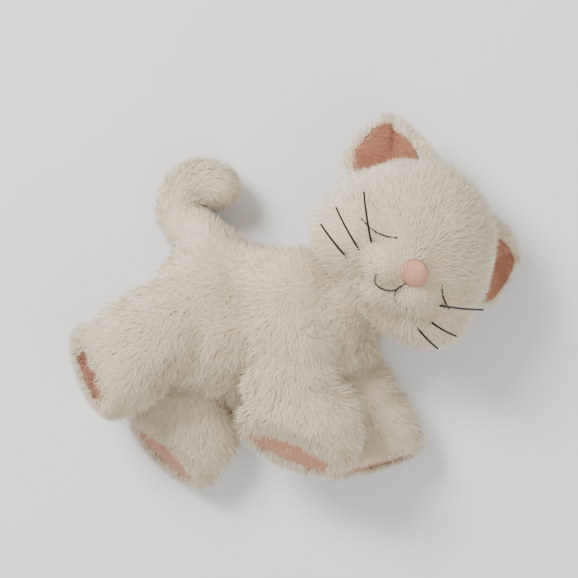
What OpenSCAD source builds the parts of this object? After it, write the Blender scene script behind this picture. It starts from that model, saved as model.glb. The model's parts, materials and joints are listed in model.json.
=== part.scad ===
// Plush kitten lying on its left side, head turned to face upwards.
// Millimetres, +Z up, floor at z = 0. +X is the kitten's nose end, +Y its back.

/* [Cloth] */
// Thickness of the sewn plush cloth with its pressed pile
skin_t = 4; // [3:0.5:5]
// Free space between two pieces that move against each other
gap = 0.5; // [0.4:0.1:0.8]

/* [Torso] */
// Radius of the round rump
rump_r = 41; // [38:1:43]
// Radius of the round chest
chest_r = 36; // [33:1:38]
// Height of the torso's middle line above the floor
torso_z = 35; // [34:1:36]
// Rump centre along the kitten
rump_x = -56; // [-60:1:-52]
// Rump centre across the back
rump_y = -14.5; // [-17:0.5:-12]
// Distance between the rump and chest centres
torso_l = 66; // [60:1:70]
// Tilt of the torso's middle line in the floor plane
torso_tilt = 4.3; // [0:0.1:8]

/* [Head] */
// Radius of the head seen from the face
head_r = 54; // [50:1:55]
// Half of the head's depth from face to nape
head_half_depth = 46; // [42:1:48]
// Head centre along the kitten
head_x = 63.5; // [61:0.5:67]
// Head centre across the back
head_y = 33.8; // [31:0.1:37]
// Head centre above the floor
head_z = 45; // [44:1:47]
// Roll of the head towards the shoulder
head_roll = -45; // [-50:1:-40]
// Turn of the face towards the kitten's left
head_turn = 15; // [10:1:20]
// Distance from the head centre back to the neck
neck_d = 45; // [43:1:47]
// Radius of the stuffed neck
neck_r = 16; // [14:1:18]
// Largest nod of the head each way
nod_max = 10; // [6:1:12]
// Largest turn of the head each way
turn_max = 25; // [15:5:30]

/* [Legs] */
// Thickness of a leg across the body
leg_t = 37; // [34:1:37]
// Thickness of the flat root of a leg
root_t = 18; // [16:1:19]
// Radius of the flat root of a leg
root_r = 21; // [18:1:22]
// Diameter of a sole pad's short side
pad_w = 20; // [16:1:24]

/* [Tail] */
// Radius of the tail
tail_r = 13; // [11:0.5:13.5]
// Radius of the curl's middle line
curl_r = 14.8; // [14:0.1:18]
// Sweep of the curl
curl_sweep = 158; // [120:1:170]

/* [Ears] */
// Width of an ear along its sewn base
ear_w = 50; // [44:1:54]
// Height of an ear above the head
ear_h = 27; // [22:1:32]
// Place of each ear on the head, from the side towards the crown
ear_angle = 35; // [30:1:40]

/* [Face] */
// Radius of the padded nose
nose_r = 8; // [7:0.5:9]
// Thickness of the embroidery thread
stitch_t = 2; // [1.6:0.1:2.4]
// Thickness of a whisker
whisker_t = 1; // [0.8:0.1:1.4]

/* [Hidden] */

plush = "#f2efe8";
filling = "#fbfbfb";
velour = "#d99a82";
satin = "#eabfb2";
thread = "#3a3634";
pellets = "#c9d3da";

big = 400;
// Extra play where curved cloth is followed by flat facets
facet_play = 0.4;
dome_n = 20;
arc_n = 9;
leg_fn = 20;
bag_r = 10;
bag_back = 18;
torso_bag_r = 10.5;
torso_bag_y = 21;
seam_l = 26;
seam_t = 1.2;
pad_t = 1.6;
pad_margin = 11;
lining_t = 2;
ear_t = 5;
ear_tilt = 28;
ear_lean = 14;
whisker_l = 34;
whisker_bend_r = 70;

// Legs: hinge x, hinge y, direction, hinge-to-sole reach, sole width, sole turn, side, swing back, swing forward.
// The side is 1 for the upper (right) legs and -1 for the lower (left) ones.
right_front = [-6, -0.5, 269.2, 88, 76, -22, 1, 18, 22];
left_front = [11, -13.5, 291.3, 91.5, 66, -5, -1, 20, 16];
right_hind = [-65, -1.5, 214, 75, 60, -13, 1, 35, 19];
left_hind = [-63, -19.5, 253.6, 76.5, 66, -27.6, -1, 35, 18];
legs = [right_front, left_front, right_hind, left_hind];

// Where the thick part of a leg begins, and its width there
mid_x = 42;
bridge_x = 12;
bridge_w = 34;
mid_w = 56;
foot_back = 10;

// Half angle of the wedge that a leg's shaft fills, and the play around its root
wedge_half = 62;
root_play = 3;
bridge_play = 3;

// Heights of the legs' middle planes, and of their flat roots
upper_lift = 5.5;
floor_press = 0.6;
root_out = 8;
function leg_z(p) = p[6] > 0 ? 2 * torso_z - leg_t / 2 + upper_lift : leg_t / 2 - floor_press;
function root_z(p) = leg_z(p) + p[6] * root_out;

tail_hinge = [-58.6, 35.5, 32];
tail_start = [-73.6, 50.5, 20];
curl_start = 222;
// The tail's root ball is this much larger than the tail
tail_root_extra = 2;
// A ball stands this much proud of the tube it ends
knuckle = 0.5;

// ---- Shared shapes ----

// Dome profile: half of an oval, turned about the Z axis
module oval_solid(r, h) {
    rotate_extrude($fn = 72)
        polygon([for (i = [0 : dome_n]) let (a = -90 + 180 * i / dome_n) [r * cos(a), h * sin(a)]]);
}

module above(z) {
    translate([-big / 2, -big / 2, z]) cube([big, big, big]);
}

module rod_between(a, b, r) {
    v = b - a;
    l = norm(v);
    translate(a)
        rotate([0, acos(v[2] / l), atan2(v[1], v[0])])
            cylinder(r = r, h = l, $fn = 48);
}

module stadium(l, w) {
    square([l - w, w], center = true);
    for (s = [-1, 1])
        translate([s * (l - w) / 2, 0]) circle(d = w, $fn = 40);
}

// ---- Head ----

module head_frame() {
    translate([head_x, head_y, head_z])
        rotate([0, 0, head_roll])
            rotate([0, head_turn, 0])
                children();
}

// The neck's ball centre, in the head's own frame
neck_back = 9;
neck_at = [0, -neck_d, -neck_back];

// The muzzle: a ball sunk in the lower half of the face
muzzle_r = 23;
muzzle_sink = 13;
muzzle_at = [0, -muzzle_sink, head_half_depth - muzzle_sink];

module head_form(inset) {
    oval_solid(head_r - inset, head_half_depth - inset);
    translate(muzzle_at) sphere(r = muzzle_r - inset, $fn = 64);
}

module head_body(inset) {
    intersection() {
        head_frame()
            difference() {
                head_form(inset);
                translate(neck_at) sphere(r = neck_r + gap + inset, $fn = 64);
            }
        above(inset);
    }
}

// Height of the bare face above the head's centre plane
function face_z(x, y) =
    head_half_depth * sqrt(max(0, 1 - (x * x + y * y) / (head_r * head_r)));

// Closed eyes: an arc each, sunk in the pile and tipped to follow the face
eye_x = 28;
eye_y = -5;
eye_arc_r = 17;
eye_drop = 3;
eye_sink = 0.8;
eye_sweep = 96;
eye_tip_x = 27;
eye_tip_y = 5;

module eye_stitching(side) {
    translate([side * eye_x, eye_y, face_z(eye_x, eye_y) - eye_sink])
        rotate([-eye_tip_y, side * eye_tip_x, 0])
            translate([0, eye_arc_r - eye_drop, 0])
                rotate([0, 0, 270 - eye_sweep / 2])
                    rotate_extrude(angle = eye_sweep, $fn = 64)
                        translate([eye_arc_r, 0]) circle(d = stitch_t, $fn = 16);
}
nose_at = [1, -9.5, head_half_depth + 7];

module nose_form() {
    translate(nose_at) sphere(r = nose_r, $fn = 48);
}

// The mouth: a short line down from the nose and a curl to each cheek
mouth_r = 7.5;
mouth_y = -20.5;
mouth_z = 51.3;
mouth_tip_x = 14;
mouth_tip_y = 16;
mouth_sweep = 135;

module mouth_form() {
    for (s = [-1, 1])
        translate([s * mouth_r, mouth_y, mouth_z])
            rotate([mouth_tip_x, s * mouth_tip_y, 0])
                rotate([0, 0, s > 0 ? 180 : 360 - mouth_sweep])
                    rotate_extrude(angle = mouth_sweep, $fn = 48)
                        translate([mouth_r, 0]) circle(d = stitch_t, $fn = 16);
}

// Whiskers: root place on the cheek, then the direction it leaves in
whisker_x = 29;
whisker_rows = [-12, -20, -28];
whisker_rise = [26, 8, -10];
whisker_root = 3;
whisker_lift = 28;

module whisker_form(side, i) {
    y = whisker_rows[i];
    translate([side * whisker_x, y, face_z(whisker_x, y) - whisker_root])
        rotate([0, side > 0 ? 0 : 180, 0])
            rotate([0, 0, whisker_rise[i]])
                rotate([0, -side * whisker_lift, 0])
                    translate([0, whisker_bend_r, 0])
                        rotate([0, 0, -90])
                            rotate_extrude(angle = whisker_l / whisker_bend_r * 180 / PI, $fn = 96)
                                translate([whisker_bend_r, 0]) circle(d = whisker_t, $fn = 16);
}

module face_sewing() {
    nose_form();
    mouth_form();
    for (s = [-1, 1]) {
        eye_stitching(s);
        for (i = [0 : 2])
            whisker_form(s, i);
    }
}

module head_skin() {
    color(plush)
        difference() {
            head_body(0);
            head_body(skin_t);
            head_frame() face_sewing();
        }
}

module head_stuffing() {
    color(filling)
        difference() {
            head_body(skin_t);
            head_frame() face_sewing();
        }
}

// ---- Ears ----

ear_proud = 1;
ear_back_set = 5;
ear_corner_r = 7;
ear_tip_r = 8;
ear_sunk = 6;
lining_inset = 6;

module ear_frame(side) {
    head_frame()
        rotate([0, 0, 90 - side * (90 - ear_angle)])
            translate([head_r + ear_proud, 0, -ear_back_set])
                rotate([0, 0, -90])
                    rotate([-ear_tilt, 0, 0])
                        rotate([0, 0, side * ear_lean])
                            children();
}

module ear_outline(inset) {
    hull() {
        for (s = [-1, 1])
            translate([s * (ear_w / 2 - ear_corner_r), -ear_sunk])
                circle(r = ear_corner_r - inset / 2, $fn = 24);
        translate([0, ear_h - ear_tip_r]) circle(r = ear_tip_r - inset / 2, $fn = 24);
    }
}

// Room between an ear and the round of the head
ear_play = 2;

module ear_clear() {
    head_frame() oval_solid(head_r + ear_play, head_half_depth + ear_play);
}

module ear_back(side) {
    color(plush)
        difference() {
            ear_frame(side)
                translate([0, 0, -ear_t])
                    linear_extrude(ear_t) ear_outline(0);
            ear_clear();
        }
}

module ear_lining(side) {
    color(velour)
        difference() {
            ear_frame(side)
                linear_extrude(lining_t) ear_outline(lining_inset);
            ear_clear();
        }
}

// ---- Neck ----

gather_r = 0.8;
gather_sunk = 1.2;

module neck_ring() {
    head_frame()
        translate(neck_at)
            rotate([90, 0, 0])
                rotate_extrude($fn = 64)
                    translate([neck_r - gather_sunk, 0]) circle(r = gather_r, $fn = 16);
}

module neck_stuffing() {
    color(filling)
        difference() {
            head_frame() translate(neck_at) sphere(r = neck_r, $fn = 64);
            neck_ring();
        }
}

module neck_gather_thread() {
    color(thread) neck_ring();
}

// ---- Legs ----

module leg_frame(p) {
    translate([p[0], p[1], leg_z(p)]) rotate([0, 0, p[2]]) children();
}

module foot_frame(p) {
    leg_frame(p) translate([p[3], 0, 0]) rotate([0, 0, p[5]]) children();
}

module leg_mids(inset) {
    r = leg_t / 2 - inset;
    for (s = [-1, 1])
        translate([mid_x, s * (mid_w - leg_t) / 2, 0]) sphere(r = r, $fn = leg_fn);
}

module leg_form(p, inset) {
    difference() {
        union() {
            translate([0, 0, root_z(p) - leg_z(p)])
                cylinder(r = root_r - inset, h = root_t - 2 * inset, center = true, $fn = 72);
            hull() {
                translate([bridge_x - 0.5, 0, root_z(p) - leg_z(p)])
                    cube([1, bridge_w - 2 * inset, root_t - 2 * inset], center = true);
                leg_mids(inset);
            }
            hull() {
                leg_mids(inset);
                translate([p[3], 0, 0])
                    rotate([0, 0, p[5]])
                        for (s = [-1, 1])
                            translate([-foot_back, s * (p[4] - leg_t) / 2, 0])
                                sphere(r = leg_t / 2 - inset, $fn = leg_fn);
            }
        }
        translate([p[3], 0, 0])
            rotate([0, 0, p[5]])
                translate([-inset, -big / 2, -big / 2]) cube(big);
    }
}

module leg_body(p, inset) {
    intersection() {
        leg_frame(p) leg_form(p, inset);
        above(inset);
    }
}

module pellet_bag(p) {
    foot_frame(p) translate([-bag_back, 0, 0]) sphere(r = bag_r, $fn = 48);
}

module leg_skin(p) {
    color(plush)
        difference() {
            leg_body(p, 0);
            leg_body(p, skin_t);
        }
}

module leg_stuffing(p) {
    color(filling)
        difference() {
            leg_body(p, skin_t);
            pellet_bag(p);
        }
}

module leg_pellet_bag(p) {
    color(pellets) pellet_bag(p);
}

module sole_pad(p) {
    color(velour)
        foot_frame(p)
            rotate([0, 90, 0])
                rotate([0, 0, 90])
                    linear_extrude(pad_t) stadium(p[4] - 2 * pad_margin, pad_w);
}

// Space that a leg sweeps inside the torso: its flat root, and the wedge that its shaft turns through
module leg_sweep(p, grow) {
    c = gap + grow;
    r = leg_t / 2 + c;
    root_low = p[6] * root_z(p) - root_t / 2 - c;
    middle = p[6] * leg_z(p);
    top = middle + big / 2;
    translate([p[0], p[1], 0])
        mirror([0, 0, p[6] > 0 ? 0 : 1]) {
            translate([0, 0, root_low - 1]) cylinder(r = root_r + root_play + c, h = big / 2, $fn = 72);
            rotate([0, 0, p[2] - wedge_half - p[7]])
                rotate_extrude(angle = 2 * wedge_half + p[7] + p[8], $fn = 120)
                    polygon(concat(
                        [[0, top], [0, root_low], [bridge_x - bridge_play - c, root_low]],
                        [for (a = [222 : 12 : 270]) [mid_x + r * cos(a), middle + r * sin(a)]],
                        [[big / 4, middle - r], [big / 4, top]]
                    ));
        }
}

// ---- Torso ----

module torso_frame() {
    translate([rump_x, rump_y, torso_z]) rotate([0, 0, torso_tilt]) children();
}

// One turned solid: a round rump, a straight taper and a round chest
module torso_form(inset) {
    a = asin((rump_r - chest_r) / torso_l);
    r0 = rump_r - inset;
    r1 = chest_r - inset;
    torso_frame()
        rotate([0, 90, 0])
            rotate_extrude($fn = 96)
                polygon(concat(
                    [for (i = [0 : arc_n]) let (t = -90 + (90 + a) * i / arc_n) [r0 * cos(t), r0 * sin(t)]],
                    [for (i = [0 : arc_n]) let (t = a + (90 - a) * i / arc_n)
                        [r1 * cos(t), torso_l + r1 * sin(t)]]
                ));
}

// Space that the head and the neck take at each end of the nod
module head_sweep(grow) {
    for (nod = [-nod_max, 0, nod_max], turn = [-turn_max, 0, turn_max])
        head_frame()
            translate(neck_at)
                rotate([0, turn, 0])
                    rotate([nod, 0, 0])
                        translate(-neck_at)
                            sphere(r = head_r + gap + facet_play + grow, $fn = 96);
    head_frame() translate(neck_at) sphere(r = neck_r + gap + grow, $fn = 64);
}

module torso_body(inset) {
    difference() {
        intersection() {
            torso_form(inset);
            above(inset);
        }
        for (p = legs)
            leg_sweep(p, inset);
        head_sweep(inset);
        translate(tail_hinge) sphere(r = tail_r + tail_root_extra + gap + inset, $fn = 64);
    }
}

module torso_pellets() {
    torso_frame() translate([torso_l / 2, torso_bag_y, 0]) sphere(r = torso_bag_r, $fn = 64);
}

module seam_line() {
    torso_frame()
        translate([torso_l / 2 - seam_l / 2, (rump_r + chest_r) / 2 - skin_t / 2, 0])
            rotate([0, 90, 0])
                cylinder(d = seam_t, h = seam_l, $fn = 24);
}

module torso_skin() {
    color(plush)
        difference() {
            torso_body(0);
            torso_body(skin_t);
            seam_line();
        }
}

module torso_stuffing() {
    color(filling)
        difference() {
            torso_body(skin_t);
            torso_pellets();
            seam_line();
        }
}

module torso_pellet_bag() {
    color(pellets) torso_pellets();
}

module closing_seam() {
    color(plush) seam_line();
}

// ---- Tail ----

module tail_form(inset) {
    r = tail_r - inset;
    centre = tail_start - curl_r * [cos(curl_start), sin(curl_start), 0];
    stop = curl_start - curl_sweep;
    translate(tail_hinge) sphere(r = r + tail_root_extra, $fn = 64);
    rod_between(tail_hinge, tail_start, r);
    translate(tail_start) sphere(r = r + knuckle, $fn = 64);
    translate(centre)
        rotate([0, 0, stop])
            rotate_extrude(angle = curl_sweep, $fn = 96)
                translate([curl_r, 0]) circle(r = r, $fn = 48);
    translate(centre + curl_r * [cos(stop), sin(stop), 0]) sphere(r = r + knuckle, $fn = 64);
}

module tail_skin() {
    color(plush)
        difference() {
            tail_form(0);
            tail_form(skin_t);
        }
}

module tail_stuffing() {
    color(filling) tail_form(skin_t);
}

// ---- Assembly ----

torso_skin();
torso_stuffing();
torso_pellet_bag();
closing_seam();
neck_stuffing();
neck_gather_thread();
head_skin();
head_stuffing();
color(satin) head_frame() nose_form();  // nose
color(thread) head_frame() mouth_form();  // mouth_stitching
color(thread) head_frame() eye_stitching(-1);  // right_eye_stitching
color(thread) head_frame() eye_stitching(1);  // left_eye_stitching
color(thread) head_frame() whisker_form(-1, 0);  // right_upper_whisker
color(thread) head_frame() whisker_form(-1, 1);  // right_middle_whisker
color(thread) head_frame() whisker_form(-1, 2);  // right_lower_whisker
color(thread) head_frame() whisker_form(1, 0);  // left_upper_whisker
color(thread) head_frame() whisker_form(1, 1);  // left_middle_whisker
color(thread) head_frame() whisker_form(1, 2);  // left_lower_whisker
ear_back(-1);  // right_ear_back
ear_lining(-1);  // right_ear_lining
ear_back(1);  // left_ear_back
ear_lining(1);  // left_ear_lining
leg_skin(right_front);  // right_front_leg_skin
leg_stuffing(right_front);  // right_front_leg_stuffing
leg_pellet_bag(right_front);  // right_front_pellet_bag
sole_pad(right_front);  // right_front_pad
leg_skin(left_front);  // left_front_leg_skin
leg_stuffing(left_front);  // left_front_leg_stuffing
leg_pellet_bag(left_front);  // left_front_pellet_bag
sole_pad(left_front);  // left_front_pad
leg_skin(right_hind);  // right_hind_leg_skin
leg_stuffing(right_hind);  // right_hind_leg_stuffing
leg_pellet_bag(right_hind);  // right_hind_pellet_bag
sole_pad(right_hind);  // right_hind_pad
leg_skin(left_hind);  // left_hind_leg_skin
leg_stuffing(left_hind);  // left_hind_leg_stuffing
leg_pellet_bag(left_hind);  // left_hind_pellet_bag
sole_pad(left_hind);  // left_hind_pad
tail_skin();
tail_stuffing();
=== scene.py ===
"""Looks of a floppy plush kitten: sewn covers, soft pile, velour pads, satin nose and thread face."""

import json
import math

import bmesh
import bpy
import numpy as np
from mathutils import Matrix, Vector


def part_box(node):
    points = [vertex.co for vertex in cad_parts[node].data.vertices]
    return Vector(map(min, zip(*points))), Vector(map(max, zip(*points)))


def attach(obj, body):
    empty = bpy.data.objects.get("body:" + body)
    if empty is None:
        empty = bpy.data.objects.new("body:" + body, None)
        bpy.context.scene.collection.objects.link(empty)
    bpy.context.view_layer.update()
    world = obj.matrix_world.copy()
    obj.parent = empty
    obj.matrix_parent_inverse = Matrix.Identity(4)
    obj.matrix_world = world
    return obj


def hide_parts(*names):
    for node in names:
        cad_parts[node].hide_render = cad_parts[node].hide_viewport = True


bl_info = {
    "name": "Plush kitten",
    "version": (1, 0, 0),
    "blender": (4, 5, 0),
    "location": "3D View > Sidebar > Plush",
    "description": "Covers, pile, face and stage of a floppy plush kitten",
    "category": "Object",
}

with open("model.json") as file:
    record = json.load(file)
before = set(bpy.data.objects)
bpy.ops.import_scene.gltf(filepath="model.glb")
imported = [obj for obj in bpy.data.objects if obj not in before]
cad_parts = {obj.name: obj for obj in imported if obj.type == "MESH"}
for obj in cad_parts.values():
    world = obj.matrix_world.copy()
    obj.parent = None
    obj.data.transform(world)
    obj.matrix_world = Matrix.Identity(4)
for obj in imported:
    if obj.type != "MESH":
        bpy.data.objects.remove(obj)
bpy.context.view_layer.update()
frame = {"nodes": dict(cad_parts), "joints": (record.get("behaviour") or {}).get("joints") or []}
JOINTS = {j["name"]: j for j in frame["joints"]}
MM = 0.001

# ---------------------------------------------------------------- places taken from the frame


def place(joint):
    """Where a joint sits, in millimetres."""
    return Vector(JOINTS[joint]["pos_m"]) / MM


def middle(node):
    """Middle of a CAD node's box, in millimetres."""
    low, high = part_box(node)
    return (low + high) / (2 * MM)


def turn(axis, degrees):
    """A turn about one of the axes X, Y and Z."""
    return Matrix.Rotation(math.radians(degrees), 3, axis)


def columns(x, y, z):
    """A turn whose own axes are x, y and z."""
    return Matrix((x, y, z)).transposed()


NECK = place("neck_turn")
NECK_R = 17.5
HEAD_UP = Vector(JOINTS["neck_turn"]["axis"])
HEAD_LEFT = Vector(JOINTS["head_nod"]["axis"])
HEAD_TURN = columns(HEAD_LEFT, HEAD_UP, HEAD_LEFT.cross(HEAD_UP))
HEAD_RISE = 45
HEAD_FORWARD = 9
HEAD = NECK + HEAD_TURN @ Vector((0, HEAD_RISE, HEAD_FORWARD))
TORSO_Z = 35
TORSO_LENGTH = 66
TORSO_TURN = math.radians(4.3)
RUMP = Vector((-56, -14.5, TORSO_Z))
CHEST = RUMP + TORSO_LENGTH * Vector((math.cos(TORSO_TURN), math.sin(TORSO_TURN), 0))
TAIL_ROOT = place("tail_swing")
TAIL_BEND = TAIL_ROOT + Vector((-15, 15, -12))
CURL_R = 14.8
CURL_START = 222
CURL_SWEEP = 158
EAR_ANGLE = 35
EAR_TILT = 28
EAR_LEAN = 14
EAR_H = 27
EAR_NARROWING = 0.62
LEFT_EAR_BACK = -3
LEFT_EAR_DROP = 3
SOLE_MARGIN = 22
PAD_RIM = 8
PAD_HALF_WIDTH = 12
PAD_TUCK = 1
NOSE_X = 1
NOSE_Y = -9.5
FLOOR_PLAY = 0.4
PILE_PLAY = 0.15

# ---------------------------------------------------------------- small tools


def srgb(code):
    """A hex colour as linear values."""
    parts = [int(code[i : i + 2], 16) / 255 for i in (1, 3, 5)]
    return tuple(c / 12.92 if c <= 0.04045 else ((c + 0.055) / 1.055) ** 2.4 for c in parts) + (1.0,)


def add(tree, kind, links=None, **settings):
    """Adds a node. Settings are its properties or, failing that, its sockets' values."""
    node = tree.nodes.new(kind)
    for key, value in settings.items():
        if hasattr(node, key):
            setattr(node, key, value)
        else:
            node.inputs[key.replace("_", " ")].default_value = value
    for key, source in (links or {}).items():
        tree.links.new(source, node.inputs[key])
    return node


def new_object(name, mesh):
    piece = bpy.data.objects.new(name, mesh)
    bpy.context.scene.collection.objects.link(piece)
    return piece


def positions(mesh):
    co = np.empty(len(mesh.vertices) * 3, np.float32)
    mesh.vertices.foreach_get("co", co)
    return co.reshape(-1, 3).astype(float)


def set_positions(mesh, co):
    mesh.vertices.foreach_set("co", np.asarray(co, np.float32).ravel())
    mesh.update()


def vertex_normals(mesh):
    normals = np.empty(len(mesh.vertices) * 3, np.float32)
    mesh.vertex_normals.foreach_get("vector", normals)
    return normals.reshape(-1, 3).astype(float)


def unit(v):
    return v / np.maximum(np.linalg.norm(v, axis=-1, keepdims=True), 1e-9)


def smoothstep(low, high, x):
    t = np.clip((x - low) / (high - low), 0, 1)
    return t * t * (3 - 2 * t)


def relax(mesh, rounds, strength=0.5):
    """Evens out a mesh by moving each point towards its neighbours."""
    edges = np.empty(len(mesh.edges) * 2, np.int32)
    mesh.edges.foreach_get("vertices", edges)
    edges = edges.reshape(-1, 2)
    count = np.zeros(len(mesh.vertices))
    np.add.at(count, edges.ravel(), 1)
    co = positions(mesh)
    for _ in range(rounds):
        total = np.zeros_like(co)
        np.add.at(total, edges[:, 0], co[edges[:, 1]])
        np.add.at(total, edges[:, 1], co[edges[:, 0]])
        co += strength * (total / np.maximum(count, 1)[:, None] - co)
    set_positions(mesh, co)


def lay_on_floor(mesh, play):
    """Flattens what would lie lower than some millimetres above the floor."""
    co = positions(mesh)
    co[:, 2] = np.maximum(co[:, 2], play * MM)
    set_positions(mesh, co)


def ripple(co, size, seed):
    """A smooth wave field from -1 to 1 for each point: a few crossed waves of about the given size."""
    rng = np.random.default_rng(seed)
    total = np.zeros(len(co))
    for _ in range(6):
        direction = unit(rng.normal(size=3))
        wave = 2 * math.pi / (size * rng.uniform(0.7, 1.5))
        total += np.sin(co @ direction * wave + rng.uniform(0, 6.28))
    return total / 3


def finish_modifiers(piece):
    """Turns a piece's modifiers into its plain mesh and returns it."""
    piece.data = bpy.data.meshes.new_from_object(
        piece.evaluated_get(bpy.context.evaluated_depsgraph_get())
    )
    piece.modifiers.clear()
    piece.data.name = piece.name
    return piece.data


def set_inputs(modifier, values):
    """Sets a Geometry Nodes modifier's inputs by the identifiers of its tree's sockets."""
    for item in modifier.node_group.interface.items_tree:
        if item.in_out == "INPUT" and item.name in values:
            modifier[item.identifier] = values[item.name]


def plain_mesh(bm, name):
    """Turns an edit mesh into an object with a smooth shaded mesh, its faces pointing outwards."""
    bmesh.ops.recalc_face_normals(bm, faces=bm.faces)
    mesh = bpy.data.meshes.new(name)
    bm.to_mesh(mesh)
    bm.free()
    mesh.shade_smooth()
    return new_object(name, mesh)


def lump(centre, radii, rotation=None):
    """One egg of filling: middle, three radii (mm) and a turn."""
    return (Vector(centre), Vector(radii), rotation or Matrix.Identity(3))


def stuffed(name, lumps, voxel=2.4, rounds=10, waves=0.5, seed=1, shape=None):
    """A soft filled form: eggs of filling joined, evened out and pressed flat on the floor."""
    mesh = bpy.data.meshes.new(name)
    bm = bmesh.new()
    for centre, radii, rotation in lumps:
        matrix = (
            Matrix.Translation(centre * MM)
            @ rotation.to_4x4()
            @ Matrix.Diagonal((*(radii * MM), 1))
        )
        bmesh.ops.create_icosphere(bm, subdivisions=4, radius=1, matrix=matrix)
    bm.to_mesh(mesh)
    bm.free()
    piece = new_object(name, mesh)
    remesh = piece.modifiers.new("Join", "REMESH")
    remesh.mode = "VOXEL"
    remesh.voxel_size = voxel * MM
    remesh.use_smooth_shade = True
    mesh = finish_modifiers(piece)
    relax(mesh, rounds)
    co = positions(mesh)
    co += vertex_normals(mesh) * ((ripple(co / MM, 38, seed) * waves) * MM)[:, None]
    if shape is not None:
        co = shape(co / MM) * MM
    set_positions(mesh, co)
    lay_on_floor(mesh, FLOOR_PLAY)
    relax(mesh, 2, 0.3)
    lay_on_floor(mesh, FLOOR_PLAY)
    mesh.shade_smooth()
    return piece


def inside(co, lumps, margin=0.0):
    """Which points (mm) lie inside any of these eggs, shrunk by the margin."""
    hit = np.zeros(len(co), bool)
    for centre, radii, rotation in lumps:
        local = (co - np.array(centre)) @ np.array(rotation)
        hit |= np.sum((local / (np.array(radii) - margin)) ** 2, axis=1) < 1
    return hit


def keep(mesh, name, values):
    """Stores one number or one vector for each point."""
    values = np.asarray(values, np.float32)
    kind, field = ("FLOAT_VECTOR", "vector") if values.ndim == 2 else ("FLOAT", "value")
    attribute = mesh.attributes.get(name) or mesh.attributes.new(name, kind, "POINT")
    attribute.data.foreach_set(field, values.ravel())


def tube(name, routes, widths, sides=8):
    """Closed round threads along the given routes (mm), each tapering between its widths."""
    bm = bmesh.new()
    for route, (w0, w1) in zip(routes, widths):
        points = [Vector(p) * MM for p in route]
        rings = []
        side = None
        for i, p in enumerate(points):
            along = (points[min(i + 1, len(points) - 1)] - points[max(i - 1, 0)]).normalized()
            if side is None:
                side = along.orthogonal().normalized()
            side = (side - along * side.dot(along)).normalized()
            other = along.cross(side)
            r = (w0 + (w1 - w0) * i / (len(points) - 1)) * MM / 2
            rings.append([
                bm.verts.new(p + r * (math.cos(a) * side + math.sin(a) * other))
                for a in (2 * math.pi * k / sides for k in range(sides))
            ])
        for a, b in zip(rings, rings[1:]):
            for k in range(sides):
                bm.faces.new((a[k], a[(k + 1) % sides], b[(k + 1) % sides], b[k]))
        bm.faces.new(list(reversed(rings[0])))
        bm.faces.new(rings[-1])
    return plain_mesh(bm, name)


# ---------------------------------------------------------------- materials


def material(name):
    """A fresh node material and its surface shader."""
    made = bpy.data.materials.new(name)
    made.use_nodes = True
    tree = made.node_tree
    tree.nodes.clear()
    shader = add(tree, "ShaderNodeBsdfPrincipled")
    add(tree, "ShaderNodeOutputMaterial", {"Surface": shader.outputs[0]})
    return made, tree, shader


def pile_material(look):
    """Acrylic fur fibre: creamy tips over warmer roots, darkened there as painted shade between the
    fibres; soft and matt with a faint sheen.
    """
    made, tree, shader = material("acrylic_pile")
    strand = add(tree, "ShaderNodeAttribute", attribute_name="strand")
    shade = add(tree, "ShaderNodeAttribute", attribute_name="shade")
    # Root to tip: the roots' warmer tone is the fibre's own, their darker value is painted shade between
    # the fibres
    ramp = add(tree, "ShaderNodeMix", {"Factor": strand.outputs["Fac"]}, data_type="RGBA")
    ramp.inputs["A"].default_value = look.pile_root
    ramp.inputs["B"].default_value = look.pile_tip
    tint = add(tree, "ShaderNodeMapRange", {"Value": shade.outputs["Fac"]})
    tint.inputs["To Min"].default_value = 0.94
    tint.inputs["To Max"].default_value = 1.0
    mixed = add(tree, "ShaderNodeMix", data_type="RGBA", blend_type="MULTIPLY")
    mixed.inputs["Factor"].default_value = 1
    tree.links.new(ramp.outputs["Result"], mixed.inputs["A"])
    tree.links.new(tint.outputs[0], mixed.inputs["B"])
    tree.links.new(mixed.outputs["Result"], shader.inputs["Base Color"])
    shader.inputs["Roughness"].default_value = 0.85
    shader.inputs["Specular IOR Level"].default_value = 0.2
    shader.inputs["Sheen Weight"].default_value = 0.25
    shader.inputs["Sheen Roughness"].default_value = 0.5
    return made


def backing_material(look):
    """Knitted backing of the plush: matt cream, with a knit about 1.2 mm across."""
    made, tree, shader = material("knitted_backing")
    spot = add(tree, "ShaderNodeTexCoord")
    cells = add(tree, "ShaderNodeTexVoronoi", {"Vector": spot.outputs["Object"]}, Scale=830)
    soft = add(tree, "ShaderNodeTexNoise", {"Vector": spot.outputs["Object"]}, Scale=60)
    ramp = add(tree, "ShaderNodeMix", {"Factor": soft.outputs["Fac"]}, data_type="RGBA")
    # One end of the mottle is the pile roots' colour, with its painted shade
    ramp.inputs["A"].default_value = look.pile_root
    ramp.inputs["B"].default_value = srgb("#d9d0c0")
    tree.links.new(ramp.outputs["Result"], shader.inputs["Base Color"])
    height = cells.outputs["Distance"]
    bump = add(tree, "ShaderNodeBump", {"Height": height}, Strength=0.4, Distance=0.0004)
    tree.links.new(bump.outputs[0], shader.inputs["Normal"])
    shader.inputs["Roughness"].default_value = 0.95
    return made


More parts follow.
